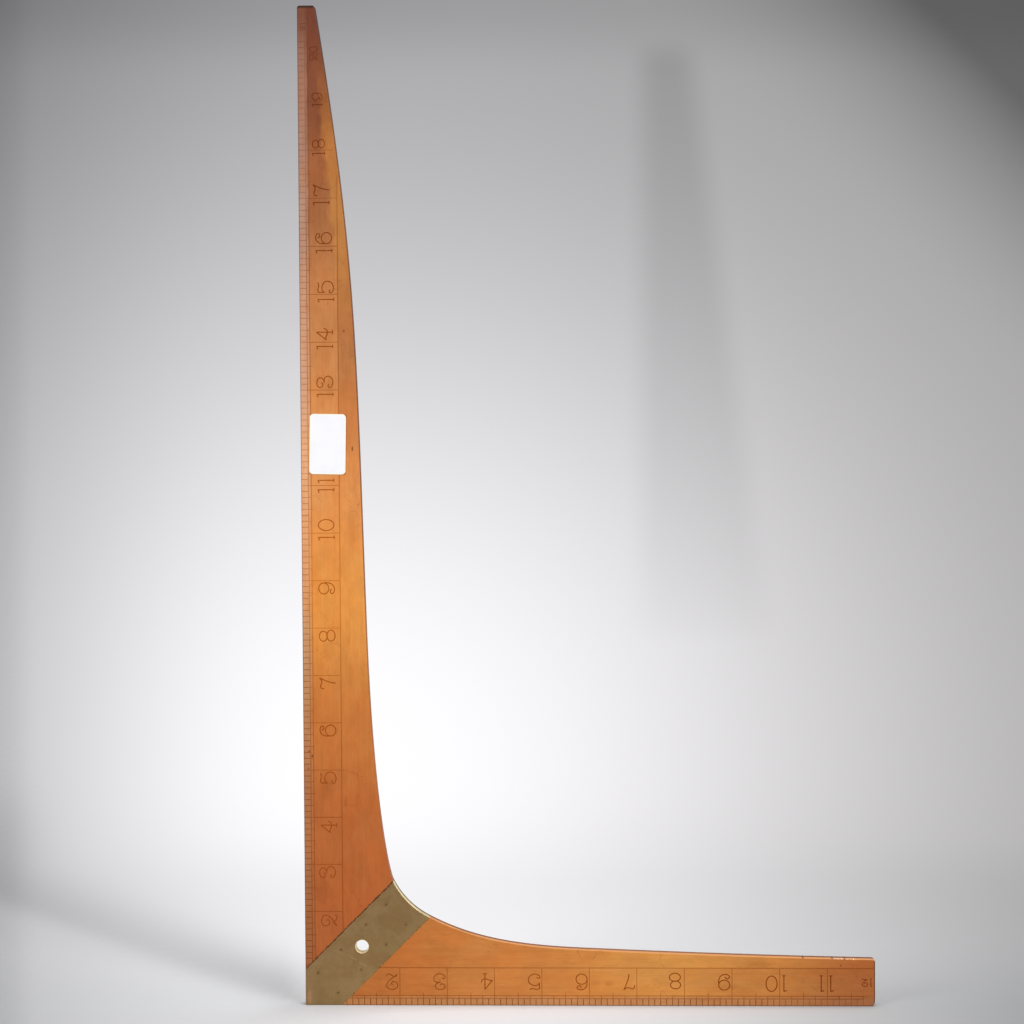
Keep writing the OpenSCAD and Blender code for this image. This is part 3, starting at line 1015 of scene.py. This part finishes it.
# Paper: its two tones and its rim's, its noises, the rim's width, its roughness and gloss, and its relief
PAPER_TONES = ((243, 243, 246), (239, 239, 243))
PAPER_RIM = (247, 242, 224)
FIBRE_NOISE = (2.4, 5, 0.7)
PAPER_NOISE = (0.09, 2)
PAPER_SPREAD = (0.35, 0.7)
PAPER_RIM_W = (-0.9, -0.3)
PAPER_FINISH = (0.85, 0.2)
PAPER_RELIEF = 0.02


def paper():
    """White paper with a little tooth, a touch yellow at its rim."""
    shader = Shader("paper")
    place, x, _, z = shader.position()
    clouds = shader.span(shader.noise(place, *PAPER_NOISE), *PAPER_SPREAD)
    colour = shader.mix(clouds, *(srgb(*tone) for tone in PAPER_TONES))
    insides = [
        shader.minus(shader.size(off), size / 2) for off, size in zip(shader.off_label(x, z), LABEL_SIZE)
    ]
    colour = shader.mix(shader.span(shader.larger(*insides), *PAPER_RIM_W), colour, srgb(*PAPER_RIM))
    shader.bump(shader.noise(place, *FIBRE_NOISE), PAPER_RELIEF)
    return shader.finish(colour, *PAPER_FINISH)


MATERIALS = {name: old_brass(name) for name in BRASS}
MATERIALS["paper"] = paper()
for arm in LENGTH:
    MATERIALS[arm] = boxwood(arm)
    MATERIALS[arm + "_numerals"] = filling(arm, ("numerals",))
    MATERIALS[arm + "_graduations"] = filling(arm, ("lines", "marks"))


# Numerals, in a frame ten high and seven and a half wide

GLYPH_W = 7.5
GLYPH_H = 10
SPLINE_STEPS = 3
OVAL_STEPS = 22


def line(*points):
    """A stroke with corners at its points."""
    return [Vector(p) for p in points], False


def smooth(*points):
    """A stroke that runs smoothly through its points."""
    p = [Vector(q) for q in points]
    last = len(p) - 1
    run = []
    for i in range(last):
        a, b, c, d = p[max(i - 1, 0)], p[i], p[i + 1], p[min(i + 2, last)]
        for k in range(SPLINE_STEPS):
            t = k / SPLINE_STEPS
            bend = t ** 2 * (2 * a - 5 * b + 4 * c - d) + t ** 3 * (3 * b - a - 3 * c + d)
            run.append((2 * b + t * (c - a) + bend) / 2)
    return run + [p[last]], False


def oval(x, y, rx, ry):
    """A closed stroke round an oval."""
    turns = [2 * math.pi * i / OVAL_STEPS for i in range(OVAL_STEPS)]
    return [Vector((x + rx * math.cos(a), y + ry * math.sin(a))) for a in turns], True


DIGITS = {
    0: [oval(3.75, 5, 3.4, 4.8)],
    1: [line((2, 9.9), (2, 0)), smooth((0.2, 9), (1, 9.5), (2, 9.8)), line((1, 0.1), (3, 0.1))],
    2: [
        smooth(
            (3.6, 6.9), (4.3, 5.9), (3, 4.9), (0.9, 5.8), (0.4, 8), (1.9, 9.6), (4, 9.9),
            (6.5, 9), (7.1, 6.8), (5.3, 4), (2.4, 1.9), (0.8, 0.3),
        ),
        smooth((0.8, 0.3), (1.3, 1.7), (2.8, 1.9), (4.8, 0.6), (6.5, 0.4), (7.3, 1.8)),
    ],
    3: [
        smooth(
            (3.3, 7.3), (2.6, 6.4), (1, 6.7), (0.3, 8.2), (1.5, 9.6), (4, 9.9), (6, 8.9), (6.2, 7.1),
            (4.8, 5.8), (3, 5.4),
        ),
        smooth(
            (3, 5.4), (5.6, 5.3), (7.2, 3.7), (6.6, 1.3), (4, 0.1), (1.1, 0.9), (0.2, 2.3), (1.2, 3.1),
            (2.3, 2.6),
        ),
    ],
    4: [
        line((4.9, 9.9), (4.9, 0)), line((4.9, 9.9), (0.2, 4)), line((3.5, 0.1), (6.3, 0.1)),
        smooth((0.2, 4), (1.6, 4.3), (3.3, 3.5), (5.2, 3.3), (6.6, 3.9), (7.2, 5.6)),
    ],
    5: [
        line((0.5, 9.5), (0.5, 5.6)), smooth((0.5, 9.4), (2.4, 9.8), (4.6, 9.2), (6.6, 9.8)),
        smooth(
            (0.5, 5.6), (1.6, 7), (3.8, 7.3), (6.4, 6.1), (7.3, 4), (6.4, 1.4), (3.6, 0.2),
            (0.9, 0.9), (0.2, 2.3), (1.2, 2.9), (2.2, 2.1),
        ),
    ],
    6: [
        oval(3.75, 3.3, 3.4, 3.2),
        smooth(
            (0.4, 3.9), (0.5, 6.8), (1.9, 9.2), (4.3, 9.9), (6.3, 9.2), (6.4, 8), (5.1, 7.4), (4, 8.1),
            (4.5, 8.8),
        ),
    ],
    7: [
        smooth((0.3, 7), (0.7, 8.8), (2, 9.3), (3.8, 8.6), (5.5, 8.7), (7, 9.9)),
        smooth((7, 9.9), (5.2, 5.8), (4.2, 2.8), (3.8, 0)),
    ],
    8: [oval(3.5, 7.35, 3.1, 2.45), oval(3.9, 2.6, 3.4, 2.5)],
    9: [
        oval(3.75, 6.8, 3.4, 3.1),
        smooth(
            (7.1, 6.2), (7.2, 4.2), (6.2, 1.6), (3.8, 0.2), (1.4, 0.6), (0.5, 1.9), (1.5, 2.8), (3, 2.5),
            (3.2, 1.7),
        ),
    ],
}
# Where a first digit starts, in glyph units before the mark, and where the others start after it
FIRST_START = {1: -4.6, 2: -8.5}
SECOND_START = 1.2
SINGLE_GAP = 1
# How far some hand-cut numbers lie from where the others would put them, along the arm and across
SHIFTS = {
    "long": {2: (-0.8, 0), 3: (0, -0.8), 4: (-1.1, 0), 15: (-0.5, 0.8), 17: (0, -1.3), 18: (0, -1.2)},
    "short": {8: (-0.8, 0.5), 10: (0, -0.8), 11: (-0.5, -0.8)},
}
# The last number on each arm, as height, distance from the outer edge and distance of its middle from the end
END_NUMBER = {"long": (3, 3, 11.2), "short": (4.2, 12.8, 4.26)}


def number_strokes(number, height, away):
    """Strokes of a number beside its mark at the origin, as (s, d) from there."""
    scale = height / GLYPH_H
    if number < 10:
        placed = [(number, -GLYPH_W - SINGLE_GAP if away else SINGLE_GAP)]
    else:
        placed = [(number // 10, FIRST_START[number // 10]), (number % 10, SECOND_START)]
    strokes = []
    for digit, start in placed:
        for points, closed in DIGITS[digit]:
            run = []
            for p in points:
                s = (p.x + start) * scale
                run.append(Vector((s if away else -s, height / 2 - p.y * scale)))
            strokes.append((run, closed))
    return strokes


def arm_strokes(arm, face):
    """Strokes of all an arm's numbers on one face. Their tops point to the outer edge."""
    away = (arm == "long") == (face == "front")
    strokes = []
    for number in range(2, INCHES[arm]):
        width = width_at(arm, number * INCH)
        narrow = width <= NARROW_W
        height = width / 3 if narrow else NUMERAL_H
        d = (LONG_LINES[1] + width) / 2 - NARROW_SHIFT if narrow else NUMERAL_D[arm]
        place = Vector((number * INCH, d)) + Vector(SHIFTS[arm].get(number, (0, 0)))
        for run, closed in number_strokes(number, height, away):
            strokes.append(([p + place for p in run], closed, height))
    height, d, before_end = END_NUMBER[arm]
    last = number_strokes(INCHES[arm], height, away)
    places = [p.x for run, _ in last for p in run]
    middle = (min(places) + max(places)) / 2
    place = Vector((LENGTH[arm] - before_end - middle, d))
    for run, closed in last:
        strokes.append(([p + place for p in run], closed, height))
    return strokes


def area(corners):
    """Area of a flat shape, below zero if its corners run clockwise."""
    return sum(a.x * b.y - b.x * a.y for a, b in zip(corners, corners[1:] + corners[:1])) / 2


def ledge(p, along, width):
    """The two ends of a cross line of a stroke, right of its direction first."""
    side = Vector((-along.y, along.x)).normalized() * width / 2
    return p - side, p + side


def stroke_quads(points, closed, width):
    """Quads that lie end to end along a stroke. At too sharp a bend each has a cross line of its own."""
    count = len(points)
    last = count if closed else count - 1
    quads = []
    for i in range(last):
        a = points[i]
        b = points[(i + 1) % count]
        before = points[i - 1] if i or closed else a
        after = points[(i + 2) % count] if i < last - 1 or closed else b
        start = ledge(a, b - before, width)
        stop = ledge(b, after - a, width)
        if min(area([start[0], stop[0], stop[1]]), area([start[0], stop[1], start[1]])) <= 0:
            start = ledge(a, b - a, width)
            stop = ledge(b, b - a, width)
        quads.append([start[0], stop[0], stop[1], start[1]])
    return quads


def graduation_shapes(arm, face):
    """The CAD graduations' flat faces as (s, d). Marks are carried on over the arm's outer edge."""
    side = FACES[face]
    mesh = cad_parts[f"{arm}_{face}_graduations"].data
    shapes = []
    for polygon in mesh.polygons:
        if polygon.normal.y * side < FACING:
            continue
        corners = []
        for i in polygon.vertices:
            x, _, z = mesh.vertices[i].co / MM
            s, d = (z, x) if arm == "long" else (x, z)
            corners.append(Vector((s, d if d > MARK_START else -MARK_START)))
        shapes.append(corners)
    return shapes


def prism_of_shapes(name, arm, shapes, left_out, levels, material):
    """One closed solid from flat shapes that may overlap, less those left out, between two levels."""
    corners = []
    outlines = []
    for shape in shapes + left_out:
        places = list(range(len(corners), len(corners) + len(shape)))
        outlines.append(places if area(shape) > 0 else places[::-1])
        corners += shape
    divided = delaunay_2d_cdt(corners, [], outlines, CDT_FOR_MESHES, CDT_NEAR, True)
    points, _, cells, _, _, sources = divided
    kept = [c for c, found in zip(cells, sources) if found and max(found) < len(shapes)]
    bm = bmesh.new()
    layers = [[bm.verts.new(in_place(arm, p, y)) for p in points] for y in levels]
    edges = {}
    for cell in kept:
        for layer in layers:
            bm.faces.new([layer[i] for i in cell])
        for a, b in zip(cell, cell[1:] + cell[:1]):
            edges[a, b] = (b, a) not in edges
            if (b, a) in edges:
                edges[b, a] = False
    for (a, b), is_rim in edges.items():
        if is_rim:
            bm.faces.new((layers[0][a], layers[0][b], layers[1][b], layers[1][a]))
    loose = [v for v in bm.verts if not v.link_faces]
    bmesh.ops.delete(bm, geom=loose, context="VERTS")
    return new_object(name, bm, [material])


def numeral_shapes(arm, face):
    """All the quads of an arm's numerals on one face. Small numerals have thinner strokes."""
    shapes = []
    for points, closed, height in arm_strokes(arm, face):
        shapes += stroke_quads(points, closed, STROKE_W * math.sqrt(height / NUMERAL_H))
    return shapes


def marks_cutter(arm, face):
    """Cutter for all the lines, marks and numerals on one face of an arm."""
    side = FACES[face]
    shapes = graduation_shapes(arm, face) + numeral_shapes(arm, face)
    levels = (side * (HALF_T - CUT_DEPTH), side * (HALF_T + CUT_ABOVE))
    return prism_of_shapes(f"{arm}_{face}_cutter", arm, shapes, [], levels, MATERIALS[arm + "_graduations"])


def numeral_filling(arm, face):
    """Filling of an arm's numerals on one face, a little below the wood."""
    side = FACES[face]
    levels = (side * (HALF_T - CUT_DEPTH), side * (HALF_T - FILL_DROP))
    shapes = numeral_shapes(arm, face)
    left_out = graduation_shapes(arm, face)
    pigment = MATERIALS[arm + "_numerals"]
    return prism_of_shapes(f"{arm}_{face}_numerals", arm, shapes, left_out, levels, pigment)


# Pieces

def rivet_place(arm, i):
    """Where a rivet stands on the face, as x and z."""
    side = 1 if arm == "long" else -1
    x = (RIVET_AT[i] - side * RIVET_OFF) / math.sqrt(2)
    z = (RIVET_AT[i] + side * RIVET_OFF) / math.sqrt(2)
    return x, z


def rivet_profile(grown):
    """Half section of a rivet, or of its seat where it is grown."""
    top = HALF_T + grown * 2
    return [
        (-top, RIVET_HEAD_R + grown), (-HALF_T + RIVET_HEAD_H, RIVET_R + grown),
        (HALF_T - RIVET_HEAD_H, RIVET_R + grown), (top, RIVET_HEAD_R + grown),
    ]


def rivet_seats():
    """Cutter for the holes of all the rivets."""
    bm = bmesh.new()
    for arm in LENGTH:
        for i in range(len(RIVET_AT)):
            x, z = rivet_place(arm, i)
            lathe(bm, x, z, rivet_profile(RIVET_GAP), RIVET_STEPS)
    return new_object("rivet_seats", bm, [MATERIALS["rivet_metal"]])


def tongue(arm):
    """An arm's tongue. Its seam side is carried on into the board."""
    outline = tongue_outline()
    root = Vector((1, -1)) * TONGUE_ROOT / math.sqrt(2)
    for i in (1, 2):
        outline[i] = outline[i] + root
    bm = bmesh.new()
    add_prism(bm, [[in_place(arm, p, y) for p in outline] for y in (-TONGUE_HALF_T, TONGUE_HALF_T)])
    return new_object(arm + "_tongue", bm, [MATERIALS[arm]])


def make_arm(arm):
    """A boxwood board with its tongue, its cut scales and the filling of its numerals."""
    board = plate("boxwood_" + arm + "_arm", arm, arm_outline(arm), WOOD_ROUND, MATERIALS[arm])
    cut(board, tongue(arm), "UNION")
    cut(board, rivet_seats())
    for face in FACES:
        cut(board, marks_cutter(arm, face))
        adopt(numeral_filling(arm, face), "dark_filling")
        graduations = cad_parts[f"{arm}_{face}_graduations"]
        graduations.data.materials.clear()
        graduations.data.materials.append(MATERIALS[arm + "_graduations"])
    close_holes(board)
    shade(board)
    adopt(board, "boxwood", arm + "_arm")


# The hollow's wall lies beyond this sum of x and z, and faces at least so far from the outer corner
HOLLOW_BEYOND = 100
HOLLOW_FACING = 0.35


def make_brass():
    """The brass corner with its hanging hole, its slots and its rivet seats."""
    corner = plate("solid_brass_corner", "short", brass_outline(), BRASS_ROUND, MATERIALS["old_brass"])
    corner.data.materials.append(MATERIALS["rubbed_brass_highlight"])
    hole_x = (HOLE_AT - HOLE_OFF) / math.sqrt(2)
    hole_z = (HOLE_AT + HOLE_OFF) / math.sqrt(2)
    lip = HALF_T + CUT_ABOVE
    flare = HOLE_R + HOLE_BEVEL + CUT_ABOVE
    bore = HALF_T - HOLE_BEVEL
    section = [(-lip, flare), (-bore, HOLE_R), (bore, HOLE_R), (lip, flare)]
    bm = bmesh.new()
    lathe(bm, hole_x, hole_z, section, HOLE_STEPS)
    cut(corner, new_object("hole_cutter", bm, [MATERIALS["rubbed_brass_highlight"]]))
    for arm in LENGTH:
        cut(corner, tongue(arm))
    cut(corner, rivet_seats())

    # The hollow is rubbed brass with a painted highlight, and so is the hole, whose cutter brought its own
    # material
    highlighted = corner.data.materials.find("rubbed_brass_highlight")
    for face in corner.data.polygons:
        is_wall = abs(face.normal.y) < FACING and face.normal.x + face.normal.z > HOLLOW_FACING
        if is_wall and face.center.x + face.center.z > HOLLOW_BEYOND * MM:
            face.material_index = highlighted
    shade(corner)
    adopt(corner, "old_brass", "brass_corner")


def is_near_head(mesh, i, x, z):
    """True if a rivet's corner lies on or inside the rim of its punch mark."""
    co = mesh.vertices[i].co / MM
    return math.hypot(co.x - x, co.z - z) < PUNCH_R + NEAR


def make_rivets():
    """Rivets a hair below the brass, each with a dark punch mark in its head."""
    for arm in LENGTH:
        for i in range(len(RIVET_AT)):
            x, z = rivet_place(arm, i)
            head = HALF_T - RIVET_GAP
            half = [(head - depth, r) for depth, r in PUNCHED + HEAD_RIM]
            half.append((HALF_T - RIVET_HEAD_H, RIVET_R))
            bm = bmesh.new()
            lathe(bm, x, z, [(-y, r) for y, r in half] + half[::-1], RIVET_STEPS)
            metals = [MATERIALS["rivet_metal"], MATERIALS["punched_metal"]]
            rivet = new_object(f"{arm}_rivet_{i + 1}_headed", bm, metals)
            for face in rivet.data.polygons:
                off = math.hypot(face.center.x / MM - x, face.center.z / MM - z)
                if off < PUNCH_R - 2 * NEAR and all(is_near_head(rivet.data, v, x, z) for v in face.vertices):
                    face.material_index = 1
            shade(rivet)
            adopt(rivet, "old_brass", f"{arm}_rivet_{i + 1}")


def make_label():
    """A blank paper label with rounded corners, softened at its rim."""
    half_w, half_h = (size / 2 for size in LABEL_SIZE)
    corners = [Vector((a * half_w, b * half_h)) for a, b in ((-1, -1), (1, -1), (1, 1), (-1, 1))]
    outline = []
    for i, corner in enumerate(corners):
        outline += rounded(corners[i - 1], corner, corners[(i + 1) % 4], LABEL_R)
    turn = Matrix.Rotation(math.radians(LABEL_TILT), 2)
    centre = Vector(LABEL_AT)
    rings = []
    for level, drawn_in in LABEL_SECTION:
        ring = inset(outline, [drawn_in] * len(outline))
        y = -HALF_T - level * LABEL_T
        rings.append([in_place("short", centre + turn @ p, y) for p in ring])
    bm = bmesh.new()
    add_prism(bm, rings)
    label = new_object("blank_paper_label", bm, [MATERIALS["paper"]])
    shade(label)
    adopt(label, "paper", "paper_label")


make_arm("long")
make_arm("short")
make_brass()
make_rivets()
make_label()

# Camera, where the photograph was taken from
CAMERA_AT = Vector((0.1503, -1.2297, 0.3121))
CAMERA_TURN = (2.214, -0.247, -1.77)
FIELD_OF_VIEW = 25


def make_camera():
    """The rows of the turn are the camera's right, forward and up."""
    pitch, roll, yaw = (math.radians(a) for a in CAMERA_TURN)
    turn = Matrix.Rotation(yaw, 3, "Z") @ Matrix.Rotation(roll, 3, "Y") @ Matrix.Rotation(pitch, 3, "X")
    right, forward, up = turn
    data = bpy.data.cameras.new("camera")
    data.sensor_fit = "HORIZONTAL"
    data.angle = math.radians(FIELD_OF_VIEW)
    camera = bpy.data.objects.new("camera", data)
    axes = Matrix((right, up, -forward)).transposed()
    camera.matrix_world = Matrix.Translation(CAMERA_AT) @ axes.to_4x4()
    bpy.context.scene.collection.objects.link(camera)
    bpy.context.scene.camera = camera
    return right, forward, up


VIEW = make_camera()

# Stage

# The sweep in metres: half its width, its front, where it bends, how wide it bends and its top. The backdrop
# is so far away that a camera behind the object still stands in front of it
SWEEP_HALF_W = 4
SWEEP_FRONT = -4
SWEEP_BEND = 1.75
SWEEP_R = 0.35
SWEEP_TOP = 2.6
# Its mesh is finest between these places on the floor, below this height and this near to the middle
FINE_FLOOR = (-0.3, 0.7)
FINE_HEIGHT = 1
FINE_HALF_W = 0.9
# Steps of the mesh, from the front to the top of the backdrop, and across
FLOOR_STEPS = (24, 70, 40)
BEND_STEPS = 20
RISE_STEPS = (60, 16)
COLUMNS = 320
# How fast the columns widen outside the middle
COLUMN_POWER = 5
STAGE_FINISH = (0.9, 0.1)
# The floor's own shade passes into the backdrop's over this depth behind the object
FLOOR_DEPTH = 0.5
# The stage glows by itself, at its own shade, from these depths behind and in front of the object on (mm)
GLOW_BEHIND = (60, 380)
GLOW_IN_FRONT = (-300, -900)
# Outside the picture the stage passes into the plain shade of the world, between these shares of the distance
WORLD_LEVEL = 0.5
PLAIN_FROM = (0.222, 0.3)
# Glows on the backdrop and on the floor: their middles and their reaches to the left, right, down and up, as
# shares of the distance from the camera, and their least and added levels
BACKDROP_GLOW = ((-0.078, -0.112), (0.144, 0.245, 0.12, 0.2145), 0.338, 0.684)
FLOOR_GLOW = ((-0.038, -0.105), (0.2325, 0.2325, 0.257, 0.257), 0.18, 0.8)
# The picture's upper corners are darker, as side, start, reach and depth
CORNERS = ((-1, 0.2, 0.3, 0.54), (1, 0.274, 0.124, 0.62))
FLOOR_SHARE = 0.86
# Tints of the floor and of the backdrop's left and right, which meet over this reach
FLOOR_TINT = (0.99, 0.995, 1.015)
LEFT_TINT = (0.993, 0.9865, 1.0207)
RIGHT_TINT = (1.0077, 0.990, 1.002)
TINTS_MEET = (-0.2, 0.2)
# The long arm's soft shadow on the backdrop: its left side, its right side at the top and how that slants,
# its top, its softness and its depth, and the height where it has faded out
SHADOW_SIDES = (0.0563, 0.0771, 0.135)
SHADOW_TOP = 0.2
SHADOW_SOFT = 0.009
SHADOW_DEPTH = 0.2
SHADOW_FOOT = -0.055
# Painted shade at the left, of the object's shadow on the floor and of the fold between backdrop and floor: a
# place on it, its slope, its reach down and up, its depth, and the sides between which it fades out
FOLD_AT = (-0.2, -0.1723)
FOLD_SLOPE = -0.35
FOLD_REACH = (0.006, 0.015)
FOLD_DEPTH = 0.19
FOLD_END = (-0.1, -0.087)
# A dark patch at the left, and the falls towards the picture's left and upper edges, each as start, stop and
# depth
PATCH_AT = (-0.2217, -0.142)
PATCH_REACH = (0.018, 0.022)
PATCH_DEPTH = 0.15
LEFT_FALL = (-0.205, -0.221, 0.13)
TOP_FALL = (0.186, 0.222, 0.14)
# The least distance from the camera that a shade is worked out for
NEAREST = 0.2


def clamped(value):
    """The value, or the nearer of 0 and 1 where it lies beyond them."""
    return min(max(value, 0), 1)


def climb(value, start, stop):
    """0 at start, 1 at stop, and in between a smooth climb or fall."""
    share = clamped((value - start) / (stop - start))
    return share * share * (3 - 2 * share)


def glow(side, rise, middle, reaches, least, added):
    """Brightness of a soft oval glow."""
    left, right, down, up = reaches
    across = (side - middle[0]) / (left if side < middle[0] else right)
    above = (rise - middle[1]) / (down if rise < middle[1] else up)
    return least + added * math.exp(-across ** 2 - above ** 2)


def cast_shadow(side, rise):
    """Darkness of the long arm's shadow on the backdrop."""
    left, right, slant = SHADOW_SIDES
    share = clamped((rise - SHADOW_FOOT) / (SHADOW_TOP - SHADOW_FOOT))
    right += slant * (SHADOW_TOP - rise)
    inside = climb(rise - SHADOW_TOP, SHADOW_SOFT, -SHADOW_SOFT)
    inside *= climb(side - left, -SHADOW_SOFT, SHADOW_SOFT) * climb(side - right, SHADOW_SOFT, -SHADOW_SOFT)
    return SHADOW_DEPTH * math.sqrt(share) * inside


def fold_shadow(side, rise):
    """Darkness of the painted shade at the left, the object's shadow and the fold."""
    off = rise - FOLD_AT[1] - FOLD_SLOPE * (side - FOLD_AT[0])
    off /= FOLD_REACH[0] if off < 0 else FOLD_REACH[1]
    return FOLD_DEPTH * math.exp(-off ** 2) * climb(side, FOLD_END[1], FOLD_END[0])


def falls(side, rise):
    """What is left of the light at the dark patch and near the picture's edges."""
    off = math.hypot((side - PATCH_AT[0]) / PATCH_REACH[0], (rise - PATCH_AT[1]) / PATCH_REACH[1])
    level = 1 - PATCH_DEPTH * math.exp(-off ** 2)
    for place, (start, stop, depth) in ((side, LEFT_FALL), (rise, TOP_FALL)):
        level *= 1 - depth * climb(place, start, stop)
    return level


def backdrop_shade(point):
    """Colour of the stage at a place: white behind the corner and grey towards the top."""
    offset = Vector(point) - CAMERA_AT
    right, forward, up = VIEW
    depth = max(offset.dot(forward), NEAREST)
    side = offset.dot(right) / depth
    rise = offset.dot(up) / depth
    far = clamped(point[1] / FLOOR_DEPTH)
    upright = glow(side, rise, *BACKDROP_GLOW)
    for turn, start, reach, dark in CORNERS:
        upright *= 1 - dark * clamped((turn * side + rise - start) / reach) ** 2
    flat = glow(side, rise, *FLOOR_GLOW) * (FLOOR_SHARE + (1 - FLOOR_SHARE) * far)
    level = flat + (upright * (1 - cast_shadow(side, rise)) - flat) * far
    level *= (1 - fold_shadow(side, rise)) * falls(side, rise)
    level += (WORLD_LEVEL - level) * climb(max(abs(side), abs(rise)), *PLAIN_FROM)
    upright_tint = Vector(LEFT_TINT).lerp(Vector(RIGHT_TINT), climb(side, *TINTS_MEET))
    return [clamped(level * share) for share in Vector(FLOOR_TINT).lerp(upright_tint, far)]


def steps(places, counts):
    """Equal steps from each place to the next, up to the last step before the last place."""
    run = []
    for start, stop, count in zip(places, places[1:], counts):
        run += [start + (stop - start) * i / count for i in range(count)]
    return run


def stage_mesh():
    """A sheet for the floor, the bend and the backdrop."""
    profile = [(y, 0) for y in steps((SWEEP_FRONT, *FINE_FLOOR, SWEEP_BEND), FLOOR_STEPS)]
    for a in steps((0, math.pi / 2), (BEND_STEPS,)):
        profile.append((SWEEP_BEND + SWEEP_R * math.sin(a), SWEEP_R * (1 - math.cos(a))))
    heights = steps((SWEEP_R, FINE_HEIGHT, SWEEP_TOP), RISE_STEPS) + [SWEEP_TOP]
    profile += [(SWEEP_BEND + SWEEP_R, z) for z in heights]
    columns = []
    for t in steps((-1, 1), (COLUMNS,)) + [1]:
        columns.append(CAMERA_AT.x + FINE_HALF_W * t + (SWEEP_HALF_W - FINE_HALF_W) * t ** COLUMN_POWER)
    bm = bmesh.new()
    rows = [[bm.verts.new((x, y, z)) for x in columns] for y, z in profile]
    for low, high in zip(rows, rows[1:]):
        for i in range(COLUMNS):
            bm.faces.new((low[i], low[i + 1], high[i + 1], high[i]))
    return bm


def make_stage():
    """A floor that sweeps up into a backdrop, lit near the object and glowing by itself further off."""
    shader = Shader("stage")
    sweep = new_object("stage_sweep", stage_mesh(), [shader.material])
    sweep.data.shade_smooth()
    shades = sweep.data.attributes.new("shade", "FLOAT_COLOR", "POINT")
    for shade_here, v in zip(shades.data, sweep.data.vertices):
        shade_here.color = (*backdrop_shade(v.co), 1)
    colour = shader.node("ShaderNodeAttribute", attribute_name="shade").outputs["Color"]
    shader.finish(colour, *STAGE_FINISH)
    glowing = shader.node("ShaderNodeEmission", {"Color": colour, "Strength": 1.0})
    rays = shader.node("ShaderNodeLightPath").outputs
    through = shader.larger(rays["Is Glossy Ray"], rays["Is Transmission Ray"])
    seen = shader.larger(rays["Is Camera Ray"], through)
    _, _, y, _ = shader.position()
    away = shader.plus(shader.span(y, *GLOW_BEHIND), shader.span(y, *GLOW_IN_FRONT))
    surfaces = {0: shader.product(seen, away), 1: shader.surface.outputs[0], 2: glowing.outputs[0]}
    both = shader.node("ShaderNodeMixShader", surfaces)
    shader.set(shader.tree.nodes["Material Output"].inputs["Surface"], both.outputs[0])


# Soft square lamps, all turned to one place: where they stand, their sides in metres and their power
LAMP_TARGET = Vector((0.12, 0, 0.25))
LAMPS = {
    "left_lamp": ((-1.9, -1.7, 0.9), 1.2, 27.5),
    "right_lamp": ((1.7, -1.9, 1.3), 1.2, 31),
    "top_lamp": ((0.35, 0.1, 1.6), 0.8, 13),
}


def make_lamps():
    for name, (place, size, power) in LAMPS.items():
        data = bpy.data.lights.new(name, "AREA")
        data.shape = "SQUARE"
        data.size = size
        data.energy = power
        lamp = bpy.data.objects.new(name, data)
        lamp.location = place
        lamp.rotation_euler = (LAMP_TARGET - Vector(place)).to_track_quat("-Z", "Y").to_euler()
        bpy.context.scene.collection.objects.link(lamp)


make_stage()
make_lamps()

world = bpy.data.worlds.new("studio")
world.use_nodes = True
world.node_tree.nodes["Background"].inputs["Color"].default_value = (WORLD_LEVEL,) * 3 + (1,)
bpy.context.scene.world = world
bpy.context.scene.view_settings.view_transform = "Standard"
